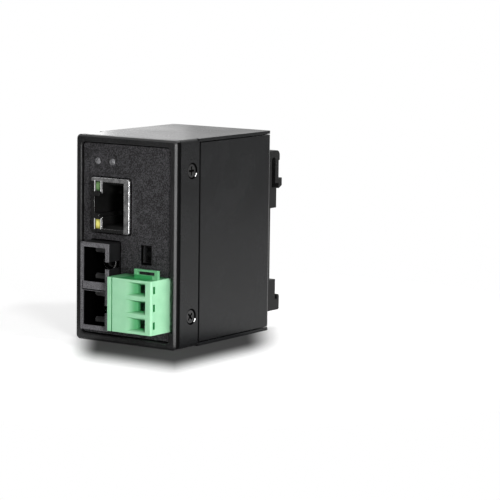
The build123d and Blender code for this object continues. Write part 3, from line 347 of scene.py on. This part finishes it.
def shield_tin():
    """Tinned shell of the jack, with painted shade by the lamps and below the cavity, and painted
    highlights, thin white lines, beside the lamps.
    """
    f = Finish("shield_tin")
    lines = f.grain(0.12 * MM, 3.0, (1, 1, 0.06))
    tarnish = f.grain(1.6 * MM, 3.0)
    low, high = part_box("rj45_shield")
    lamps = [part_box("rj45_led_" + tone) for tone in ("green", "yellow")]
    face = (low.y - MM, low.y + 0.1 * MM)

    soft = 0.2 * MM
    # Painted shade: left of and by the lamps, and below the cavity, the shell's face turns dark
    # grey.
    left_painted_shade = f.inside(soft, X=(low.x + 0.3 * MM, lamps[0][1].x + 0.5 * MM), Y=face,
                         Z=(low.z, high.z - 1.2 * MM))
    low_painted_shade = f.inside(soft, X=(low.x, high.x - 2.0 * MM), Y=face,
                        Z=(low.z + 0.05 * MM, lamps[1][0].z - 0.1 * MM))
    # Painted highlights: thin white, non-metal lines beside each lamp.
    rim = 0.26 * MM
    painted_highlight_lines = 0
    for near, far in lamps:
        for start in (near.x - 0.10 * MM - rim, far.x + 0.10 * MM):
            painted_highlight_lines += f.inside(0.04 * MM, X=(start, start + rim), Y=face,
                             Z=(near.z - 0.2 * MM, far.z + 0.2 * MM))
    tin = f.blend(f.spread(tarnish, 0, 1, 0.35, 0.65), grey(0.52, (1, 1, 1.02)), grey(0.86))
    tin = f.blend(left_painted_shade.most(low_painted_shade), tin, grey(0.09))
    f.colour(f.blend(painted_highlight_lines, tin, grey(0.80)))
    f.metallic(1 - painted_highlight_lines)
    f.roughness(f.spread(lines * 0.6 + tarnish * 0.4, 0.21, 0.30))
    f.normal(f.relief(lines, 0.0006 * MM))
    return f.material


def ring_metal():
    """Nickel barrels, bright round their front rims, with painted shade, matt black, behind the
    rims and down the bore.
    """
    f = Finish("ring_metal", Metallic=1.0)
    lines = f.grain(0.12 * MM, 3.0, (1, 0.08, 1))
    f.colour(f.blend(f.spread(f.grain(1.2 * MM), 0, 1), grey(0.74), grey(0.88)))
    f.roughness(f.spread(lines, 0.14, 0.28))
    f.normal(f.relief(lines, 0.001 * MM))

    low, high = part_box("sc_barrels")
    radius = (high.x - low.x) / 2
    bore = radius - 0.34 * MM
    # Painted shade: behind the front rim and down the bore, the barrels turn matt black.
    dark = f.after("Y", low.y + 0.9 * MM, low.y + 1.1 * MM)
    for z in (low.z + radius, high.z - radius):
        away = f.distance(((low.x + high.x) / 2, 0, z), (1, 0, 1))
        dark = dark.most(f.spread(away, 1, 0, bore, bore + 0.10 * MM))
    f.paint_shade(dark)
    return f.material


def port_moulding():
    """Black fibre housing, its front face paler in speckles, with painted shade, lightless black,
    inside its ports.
    """
    f = Finish("port_moulding", Specular_IOR_Level=0.25)
    spark = f.grain(0.20 * MM, 3.0, rough=0.65)
    flow = f.grain(4 * MM)
    low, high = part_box("sc_housing")
    rim = f.before("Y", low.y + 0.12 * MM, low.y + 0.5 * MM)
    dark = f.blend(f.spread(flow, 0, 1), grey(0.0035, (1, 1, 1.08)), grey(0.008, (1, 1, 1.08)))
    # The front face is painted paler in speckles.
    pale_speckles = rim * f.spread(spark, 0.25, 1.0, 0.36, 0.62)
    f.colour(f.blend(pale_speckles, dark, grey(0.215, (1, 0.98, 1.04))))
    f.roughness(f.spread(spark, 0.42, 0.58) + rim * 0.08)
    f.normal(f.relief(spark, 0.010 * MM))

    # Painted shade: inside the ports the housing is painted lightless black.
    wall, right_wall = 0.7 * MM, 1.3 * MM
    f.paint_shade(f.inside(0.3 * MM, X=(low.x + wall, high.x - right_wall),
                      Y=(low.y + 0.8 * MM, high.y), Z=(low.z + MM, high.z - MM)), 0.0012)
    return f.material


def plug_moulding(name, low, high, deep=None):
    """Green moulded terminal body, matt, with painted shade, a deeper green, in its hollows and on
    its top.
    """
    f = Finish(name, Specular_IOR_Level=0.5)
    spark = f.grain(0.16 * MM)
    flow = f.grain(3.6 * MM, 3.0)
    body = f.blend(f.spread(flow * 0.7 + spark * 0.3, 0, 1), low, high)
    # Painted shade: a deeper green where the hollows, the top face and the sill lie in shade.
    if deep:
        body = f.blend(plug_painted_shade(f), body, deep)
    f.colour(body)
    f.roughness(f.spread(spark * 0.5 + flow * 0.5, 0.40, 0.52))
    f.normal(f.relief(spark, 0.005 * MM))
    return f.material


def plug_painted_shade(f):
    """Painted shade on the plug: how much deeper green falls in the wire entries, side groove, test
    slots, top face and sill.
    """
    near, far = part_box("terminal_plug")
    top_face, middle_pole, pitch = near.z + 15.6 * MM, near.z + 7.8 * MM, 5.08 * MM
    wires = f.inside(0.12 * MM, X=(near.x + 1.5 * MM, far.x - 2.0 * MM),
                     Z=(near.z + 0.5 * MM, top_face - 0.5 * MM))
    wires *= f.after("Y", near.y + 0.10 * MM, near.y + 1.3 * MM)
    groove = f.inside(X=(near.x + 1.42 * MM, near.x + 1.80 * MM),
                      Y=(near.y + 0.08 * MM, near.y + MM))
    top_face_shade = f.after("Z", top_face - 0.06 * MM, top_face - 0.02 * MM)
    sill_shade = f.inside(0.15 * MM, X=(near.x + 4 * MM, far.x - 2 * MM), Z=(top_face, top_face + MM))
    slots, slot_half = 0, 1.1 * MM
    for step in (-1, 0, 1):
        z = middle_pole + step * pitch
        slots += f.inside(X=(far.x - 1.5 * MM, far.x - 0.12 * MM),
                          Y=(near.y + 0.95 * MM, near.y + 2.05 * MM),
                          Z=(z - slot_half, z + slot_half))
    return (wires * 0.85).most(groove * 0.9).most(slots).most(top_face_shade * 0.66).most(sill_shade * 0.97)


def lamp_lens(tone, edge, heart, shine):
    """Tinted clear lens of a jack's lamp: pale where its die sits, deeper colour round that, with a
    faint painted glow.
    """
    f = Finish("lamp_" + tone, Specular_IOR_Level=0.6, Coat_Roughness=0.08, Coat_Weight=0.6)
    low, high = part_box("rj45_led_" + tone)
    reach = (1.1 * MM, 3 * MM, 1.6 * MM)
    away = f.distance(((low.x + high.x) / 2, low.y, (low.z + high.z) / 2), [1 / r for r in reach])
    core = f.spread(away + (f.grain(0.5 * MM) - 0.5) * 0.5, 1, 0, 0.25, 1.0)
    shade = f.blend(core, edge, heart)
    f.colour(shade)
    f.roughness(f.spread(f.grain(0.2 * MM), 0.16, 0.30))
    f.normal(f.relief(f.grain(0.25 * MM), 0.004 * MM))
    # Painted light: the lens glows faintly in its own colour.
    f.glow(shade, shine)
    return f.material


def status_lens():
    """Diffused clear lens, unlit, set in the dark panel."""
    f = Finish("status_lens", Specular_IOR_Level=0.6, Coat_Weight=0.3, Coat_Roughness=0.12)
    swirl = f.grain(0.7 * MM, 3.0)
    f.colour(f.blend(f.spread(swirl, 0, 1), grey(0.11, (1, 1, 1.05)), grey(0.22, (1, 1, 1.04))))
    f.roughness(f.spread(swirl, 0.2, 0.36))
    f.normal(f.relief(swirl, 0.02 * MM))
    return f.material


def board_mask():
    """Green solder mask over copper runs, with bare tinned vias."""
    f = Finish("board_mask", Specular_IOR_Level=0.5)
    upright = f.node("ShaderNodeMapping",
                     sockets={"Vector": f.place(), "Rotation": (0, math.pi / 2, 0)})
    runs = f.node("ShaderNodeTexBrick", {"offset": 0.37, "squash": 1.6, "squash_frequency": 3},
                  {"Vector": upright, "Color1": (1, 1, 1), "Color2": (0.7, 0.7, 0.7),
                   "Mortar": (0, 0, 0), "Scale": 190.0, "Mortar Size": 0.035,
                   "Mortar Smooth": 0.3}, take="Fac")
    vias = f.spread(f.cells(2.9 * MM), 1, 0, 0.10, 0.13)
    weave = f.grain(0.4 * MM)
    mask = f.blend(f.spread(weave, 0, 1), (0.010, 0.085, 0.030), (0.018, 0.125, 0.046))
    mask = f.blend(runs, mask, (0.030, 0.19, 0.075))
    f.colour(f.blend(vias, mask, (0.62, 0.60, 0.55)))
    f.roughness(f.spread(weave, 0.28, 0.42))
    f.normal(f.relief(runs + vias * 0.6, 0.02 * MM, f.relief(weave, 0.004 * MM)))
    return f.material


def screw_oxide():
    """Black oxide on the screws; the case screws have painted shade, matt black, in the cross and
    round the rim.
    """
    f = Finish("screw_oxide", Specular_IOR_Level=0.5)
    rub = f.grain(0.5 * MM, 3.0)
    f.colour(f.blend(f.spread(rub, 0, 1, 0.45, 0.75), grey(0.006), grey(0.020)))
    f.roughness(f.spread(rub, 0.40, 0.26))
    f.normal(f.relief(f.grain(0.3 * MM), 0.01 * MM))

    skin, rim = 0.14 * MM, 1.84 * MM
    reach = screws_high.x - skin
    case_screws_only = (screws_low.y - MM, screws_high.y + MM)
    # Painted shade: below the head's face and round its rim, the case screws are painted matt
    # black.
    painted_shade_share = f.inside(0.06 * MM, X=(-reach, reach), Y=case_screws_only)
    for z in screw_zs:
        away = f.distance((0, screw_y, z), (0, 1, 1))
        edge = f.spread(away, 0, 1, rim, rim + 0.06 * MM)
        painted_shade_share = painted_shade_share.most(edge * f.inside(Y=case_screws_only, Z=(z - 3 * MM, z + 3 * MM)))
    f.paint_shade(painted_shade_share)
    return f.material


finishes = {
    "frame_black": cast_paint(),
    "panel_black": panel_film(),
    "case_black": powder_coat(),
    "screw_black": screw_oxide(),
    "zinc_steel": metal("zinc_plate", (0.50, 0.52, 0.55), (0.66, 0.67, 0.70), (0.26, 0.42),
                        stretch=(1, 1, 1), size=0.18),
    "clip_black": moulding("clip_moulding", grey(0.005), grey(0.010), (0.40, 0.54),
                           grain=0.22, depth=0.010, specular=0.22),
    "shield_steel": shield_tin(),
    "insert_black": moulding("insert_moulding", grey(0.003), grey(0.007), (0.46, 0.60),
                             grain=0.15, depth=0.005, specular=0.2),
    "gold_contact": metal("gold_flash", (0.72, 0.50, 0.18), (0.88, 0.66, 0.28), (0.14, 0.26)),
    "tinned_pin": metal("tin_plate", (0.60, 0.60, 0.61), (0.76, 0.76, 0.76), (0.22, 0.36),
                        stretch=(1, 1, 1)),
    "port_black": port_moulding(),
    "barrel_metal": ring_metal(),
    # Painted shade: the ceramic sleeves are coloured near-black, as they lie in the ports' shade.
    "sleeve_ceramic": moulding("ceramic", grey(0.012), grey(0.030), (0.10, 0.20),
                               grain=0.3, depth=0.001, specular=0.3),
    "latch_grey": moulding("latch_moulding", grey(0.040), grey(0.075), (0.40, 0.52),
                           specular=0.35),
    "lever_dark": moulding("lever_moulding", grey(0.003), grey(0.006), (0.34, 0.46),
                           specular=0.1),
    "board_green": board_mask(),
    "plug_green": plug_moulding("plug_moulding", (0.350, 0.735, 0.445), (0.415, 0.800, 0.505),
                                deep=(0.020, 0.300, 0.080)),
    "header_green": plug_moulding("header_moulding", (0.130, 0.430, 0.200), (0.165, 0.500, 0.240)),
    "lens_clear": status_lens(),
    "lamp_yellow": lamp_lens("yellow", (0.30, 0.27, 0.02), (0.80, 0.76, 0.20), shine=0.14),
    "lamp_green": lamp_lens("green", (0.018, 0.055, 0.012), (0.16, 0.30, 0.11), shine=0.02),
    "chip_black": moulding("chip_epoxy", grey(0.012), grey(0.022), (0.50, 0.68),
                           grain=0.1, specular=0.4),
    "can_aluminium": metal("can_aluminium", (0.62, 0.63, 0.65), (0.74, 0.74, 0.76), (0.28, 0.40),
                           stretch=(1, 1, 0.2)),
    "core_grey": moulding("ferrite", grey(0.050), grey(0.085), (0.60, 0.75),
                          grain=0.2, depth=0.01, specular=0.4),
    "post_nylon": moulding("nylon", (0.62, 0.60, 0.54), (0.74, 0.72, 0.66), (0.34, 0.48)),
}


def coat(piece, slot):
    piece.data.materials.clear()
    piece.data.materials.append(finishes[slot])


for node, piece in frame["nodes"].items():
    coat(piece, slot_of[node])


# Pieces ---------------------------------------------------------------------------------------

HAIR = 0.01 * MM


def alone(piece):
    """Leaves only this piece selected and active."""
    bpy.ops.object.select_all(action="DESELECT")
    piece.select_set(True)
    bpy.context.view_layer.objects.active = piece


def applied(piece, kind, **settings):
    """Adds a modifier, sets it and applies it."""
    alone(piece)
    step = piece.modifiers.new(kind.lower(), kind)
    for name, value in settings.items():
        setattr(step, name, value)
    bpy.ops.object.modifier_apply(modifier=step.name)


def choose(piece, test):
    """Enters edit mode with the vertices selected whose place passes the test."""
    alone(piece)
    bpy.ops.object.mode_set(mode="EDIT")
    bpy.ops.mesh.select_mode(type="VERT")
    bpy.ops.mesh.select_all(action="DESELECT")
    bpy.ops.object.mode_set(mode="OBJECT")
    for vertex in piece.data.vertices:
        vertex.select = test(vertex.co)
    bpy.ops.object.mode_set(mode="EDIT")


def rounded(piece, test, width, steps):
    """Rounds the edges that lie between chosen vertices."""
    choose(piece, test)
    bpy.ops.mesh.select_mode(type="EDGE")
    bpy.ops.mesh.bevel(offset=width, segments=steps, affect="EDGES", clamp_overlap=False)
    bpy.ops.object.mode_set(mode="OBJECT")


def round_plates(piece):
    """Rounds the rear corners of the top and bottom plates, one side at a time."""
    rear = max(v.co.y for v in piece.data.vertices) - HAIR
    wide = max(abs(v.co.x) for v in piece.data.vertices if v.co.y > rear) - HAIR
    for side in (-1, 1):
        rounded(piece, lambda c: c.y > rear and c.x * side > wide, width=1.2 * MM, steps=5)


def ease_recess(piece):
    """Rounds the frame's lip round the recess."""
    low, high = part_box("front_bezel")
    rounded(piece, lambda c: (c.y < low.y + HAIR and abs(c.x) < high.x - MM
                              and low.z + MM < c.z < high.z - MM), width=0.28 * MM, steps=3)


def fold_shield(piece):
    """Rounds the fold round the front plate of the jack's shell."""
    low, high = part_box("rj45_shield")
    middle, half, corner = (low + high) / 2, (high - low) / 2, 0.8 * MM

    def on_outline(c):
        past = [max(abs(c[i] - middle[i]) - half[i] + corner, 0) for i in (0, 2)]
        return c.y < low.y + HAIR and math.hypot(*past) > corner - HAIR

    rounded(piece, on_outline, width=0.22 * MM, steps=3)


def narrow_heads(piece):
    """Draws the rims of the screw heads, or their countersinks, in about their axes."""
    core, reach, share = 1.6 * MM, 3.1 * MM, 0.78
    for z in screw_zs:
        choose(piece, lambda c: core < math.hypot(c.y - screw_y, c.z - z) < reach)
        bpy.ops.transform.resize(value=(1, share, share), center_override=(0, screw_y, z))
        bpy.ops.object.mode_set(mode="OBJECT")


def turn_lower(piece):
    """Turns the lower screws about their axes."""
    z = screw_zs[0]
    choose(piece, lambda c: abs(c.z - z) < 3 * MM)
    bpy.ops.transform.rotate(value=math.radians(43), orient_axis="X",
                             center_override=(0, screw_y, z))
    bpy.ops.object.mode_set(mode="OBJECT")


def eased(node, edge, shape=()):
    """A copy of a node, merged, shaped and with its edges eased, that stands for the node."""
    piece = bpy.data.objects.new(node + "_eased", frame["nodes"][node].data.copy())
    bpy.context.scene.collection.objects.link(piece)
    alone(piece)
    bpy.ops.mesh.customdata_custom_splitnormals_clear()
    bpy.ops.object.mode_set(mode="EDIT")
    bpy.ops.mesh.select_all(action="SELECT")
    bpy.ops.mesh.remove_doubles(threshold=0.002 * MM)
    bpy.ops.mesh.dissolve_limited(angle_limit=math.radians(0.4))
    bpy.ops.object.mode_set(mode="OBJECT")
    for step in shape:
        step(piece)
    applied(piece, "BEVEL", width=edge * MM, segments=2, limit_method="ANGLE",
            angle_limit=math.radians(28), use_clamp_overlap=False, miter_outer="MITER_SHARP")
    bpy.ops.object.shade_smooth_by_angle(angle=math.radians(50))
    applied(piece, "WEIGHTED_NORMAL", mode="FACE_AREA", weight=50, keep_sharp=True)
    coat(piece, slot_of[node])
    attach(piece, body_of[node])
    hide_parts(node)


for node, edge in (("front_panel", 0.04), ("rear_cover", 0.09), ("sc_housing", 0.07),
                   ("terminal_plug", 0.09), ("din_clip", 0.12)):
    eased(node, edge)
eased("front_bezel", 0.12, shape=[ease_recess])
eased("rj45_shield", 0.04, shape=[fold_shield])
eased("chassis", 0.05, shape=[round_plates, narrow_heads])
eased("case_screws", 0.04, shape=[narrow_heads, turn_lower])


def status_lamp(node):
    """A domed lens: each ring is drawn out of the last one's face and in, then all is rounded."""
    low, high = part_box(node)
    middle = (low + high) / 2
    radius = (high.x - low.x) / 2
    bpy.ops.object.select_all(action="DESELECT")
    bpy.ops.mesh.primitive_cylinder_add(vertices=40, radius=radius, depth=high.y - low.y,
                                        location=middle, rotation=(math.pi / 2, 0, 0))
    lens = bpy.context.active_object
    lens.name = node + "_lens"
    bpy.ops.object.transform_apply(location=True, rotation=True, scale=True)
    for share, rise in ((0.86, 0.22), (0.62, 0.14), (0.34, 0.06)):
        front = min(v.co.y for v in lens.data.vertices)
        choose(lens, lambda c: c.y < front + HAIR)
        bpy.ops.mesh.extrude_region_move(
            TRANSFORM_OT_translate={"value": (0, -rise * radius, 0)})
        bpy.ops.transform.resize(value=(share, 1, share),
                                 center_override=(middle.x, front, middle.z))
        bpy.ops.object.mode_set(mode="OBJECT")
    shift = low.y - min(v.co.y for v in lens.data.vertices)
    bpy.ops.object.mode_set(mode="EDIT")
    bpy.ops.mesh.select_all(action="SELECT")
    bpy.ops.transform.translate(value=(0, shift, 0))
    bpy.ops.mesh.normals_make_consistent(inside=False)
    bpy.ops.object.mode_set(mode="OBJECT")
    applied(lens, "BEVEL", width=0.03 * MM, segments=2, limit_method="ANGLE",
            angle_limit=math.radians(30))
    bpy.ops.object.shade_smooth_by_angle(angle=math.radians(60))
    coat(lens, "lens_clear")
    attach(lens, "case")
    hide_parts(node)


for node in ("status_led_link", "status_led_power"):
    status_lamp(node)


# Camera ---------------------------------------------------------------------------------------

CAMERA_TURN, CAMERA_RISE, CAMERA_TILT = (math.radians(a) for a in (36.07, 7.25, 0.52))
CAMERA_DISTANCE = 727.1 * MM
AIM_RIGHT, AIM_DOWN = 22.29 * MM, 4.67 * MM
middle = Vector((0, 0, 30 * MM))


def bearing(turn, rise):
    """The direction out from the object, turned from its front to its right and raised."""
    return Vector((math.sin(turn) * math.cos(rise), -math.cos(turn) * math.cos(rise),
                   math.sin(rise)))


back = bearing(CAMERA_TURN, CAMERA_RISE)
right = Vector((math.cos(CAMERA_TURN), math.sin(CAMERA_TURN), 0))
up = back.cross(right)
eye = middle + back * CAMERA_DISTANCE
look = (eye - middle - right * AIM_RIGHT + up * AIM_DOWN).normalized()
side = up.cross(look).normalized()
top = look.cross(side)
side, top = (side * math.cos(CAMERA_TILT) + top * math.sin(CAMERA_TILT),
             top * math.cos(CAMERA_TILT) - side * math.sin(CAMERA_TILT))
camera = bpy.data.objects.new("camera", bpy.data.cameras.new("camera"))
bpy.context.scene.collection.objects.link(camera)
camera.data.sensor_width = 36.0
camera.data.lens = 177.37
camera.data.clip_start, camera.data.clip_end = 0.02, 50
camera.matrix_world = Matrix((side, top, look)).transposed().to_4x4()
camera.location = eye
bpy.context.scene.camera = camera
bpy.context.scene.view_settings.view_transform = "Standard"


# Floor, sky, lamps and cards ------------------------------------------------------------------

LAMP_DISTANCE = 0.9


def empty_mix(owner):
    """The emptied node tree of a material or a world."""
    owner.use_nodes = True
    owner.node_tree.nodes.clear()
    return Mix(owner.node_tree)


def floor_paper():
    """White paper with a painted soft shadow in front of the case, which fades to the background.
    """
    paper = bpy.data.materials.new("floor_paper")
    mix = empty_mix(paper)
    seen = mix.background_rays()
    low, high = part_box("front_bezel")
    before_front = (low.y - mix.axis("Y")) * (1 / math.cos(CAMERA_TURN))
    past_side = (mix.axis("X") - high.x) * (1 / math.sin(CAMERA_TURN))
    ahead = before_front.most(past_side)
    across = mix.axis("X") * math.cos(CAMERA_TURN) + mix.axis("Y") * math.sin(CAMERA_TURN)
    # Painted shadow: a band in front of and right of the case, darkest by its base.
    painted_shadow = (mix.spread(ahead, 0, 1, -9 * MM, -1 * MM) * mix.spread(ahead, 1, 0, 13 * MM, 43 * MM)
            * mix.spread(across, 0, 1, -31.5 * MM, -21.5 * MM)
            * mix.spread(across, 1, 0, 21 * MM, 34 * MM))
    shade = (1 - painted_shadow * 0.95).most(1 - seen)
    away = mix.spread(mix.distance(), 0, 1, 85 * MM, 140 * MM)
    matt = mix.node("ShaderNodeBsdfDiffuse",
                    sockets={"Color": mix.blend(shade, grey(0), grey(0.93))})
    lift = mix.node("ShaderNodeEmission",
                    sockets={"Color": grey(1), "Strength": seen * shade * 0.70})
    near = mix.node("ShaderNodeAddShader", sockets={0: matt, 1: lift})
    white = mix.node("ShaderNodeEmission", sockets={"Color": grey(1), "Strength": 1.0})
    both = mix.node("ShaderNodeMixShader", sockets={0: away * seen, 1: near, 2: white})
    mix.node("ShaderNodeOutputMaterial", sockets={"Surface": both})
    return paper


def studio_sky():
    """White to the background's rays. Its light is pale low down and dim above."""
    sky = bpy.data.worlds.new("studio")
    mix = empty_mix(sky)
    seen = mix.background_rays()
    way = mix.node("ShaderNodeTexCoord", take="Generated")
    height = mix.node("ShaderNodeSeparateXYZ", sockets={"Vector": way}, take="Z")
    soft = mix.spread(height, 0.98, 0.08, 0.0, 0.7)
    shine = mix.node("ShaderNodeBackground",
                     sockets={"Color": grey(1), "Strength": seen + (1 - seen) * soft})
    mix.node("ShaderNodeOutputWorld", sockets={"Surface": shine})
    return sky


def softbox(name, azimuth, elevation, size, power):
    """A soft panel of light that faces the object."""
    way = bearing(math.radians(azimuth), math.radians(elevation))
    lamp = bpy.data.lights.new(name, "AREA")
    lamp.shape = "RECTANGLE"
    lamp.size, lamp.size_y = size
    lamp.energy = power
    holder = bpy.data.objects.new(name, lamp)
    bpy.context.scene.collection.objects.link(holder)
    holder.location = middle + way * LAMP_DISTANCE
    holder.rotation_mode = "QUATERNION"
    holder.rotation_quaternion = way.to_track_quat("Z", "Y")


def card(name, corners, level):
    """A card beside the set, as bright as its level and seen in reflections only."""
    bpy.ops.object.select_all(action="DESELECT")
    bpy.ops.mesh.primitive_plane_add(size=MM)
    board = bpy.context.active_object
    board.name = name
    starts = [board.data.vertices[v].co.copy() for v in board.data.polygons[0].vertices]
    for start, corner in zip(starts, corners):
        choose(board, lambda c: (c - start).length < HAIR)
        bpy.ops.transform.translate(value=Vector(corner) * MM - start)
        bpy.ops.object.mode_set(mode="OBJECT")
    cloth = bpy.data.materials.new(name + "_cloth")
    mix = empty_mix(cloth)
    tone = mix.node("ShaderNodeEmission", sockets={"Color": grey(1), "Strength": level})
    mix.node("ShaderNodeOutputMaterial", sockets={"Surface": tone})
    board.data.materials.append(cloth)
    board.visible_camera = board.visible_diffuse = False
    board.visible_shadow = board.visible_transmission = False


def standing(start, end, low, high):
    """The corners, in millimetres, of an upright card over a line on the floor."""
    return ((*start, low), (*end, low), (*end, high), (*start, high))


bpy.ops.object.select_all(action="DESELECT")
bpy.ops.mesh.primitive_circle_add(vertices=96, radius=6, fill_type="NGON",
                                  location=(0, 0, -0.02 * MM))
floor = bpy.context.active_object
floor.name = "floor"
bpy.ops.object.transform_apply(location=True, rotation=True, scale=True)
floor.data.materials.append(floor_paper())
bpy.context.scene.world = studio_sky()

softbox("key_panel", azimuth=54, elevation=10, size=(0.18, 0.32), power=5.5)
softbox("side_panel", azimuth=97, elevation=49, size=(0.12, 0.12), power=1.6)

card("front_flag", standing((-230, -60), (-30, -260), 0.4, 260), 0.16)
card("floor_flag", ((-60, -36, 0.4), (20, -36, 0.4), (-30, -260, 0.4), (-230, -60, 0.4)), 0.16)
card("floor_card", ((25, -30, 0.4), (330, -330, 0.4), (420, -190, 0.4), (32, -22, 0.4)), 6.0)
card("rim_card", standing((-290, 95), (-168, 184), 60, 260), 3.1)
card("middle_card", standing((-168, 184), (-142, 203), 60, 260), 1.3)
card("rear_flag", standing((-142, 203), (-36, 281), 60, 260), 0.76)
card("side_flag", standing((60, 330), (300, 120), 0.4, 300), 0.45)
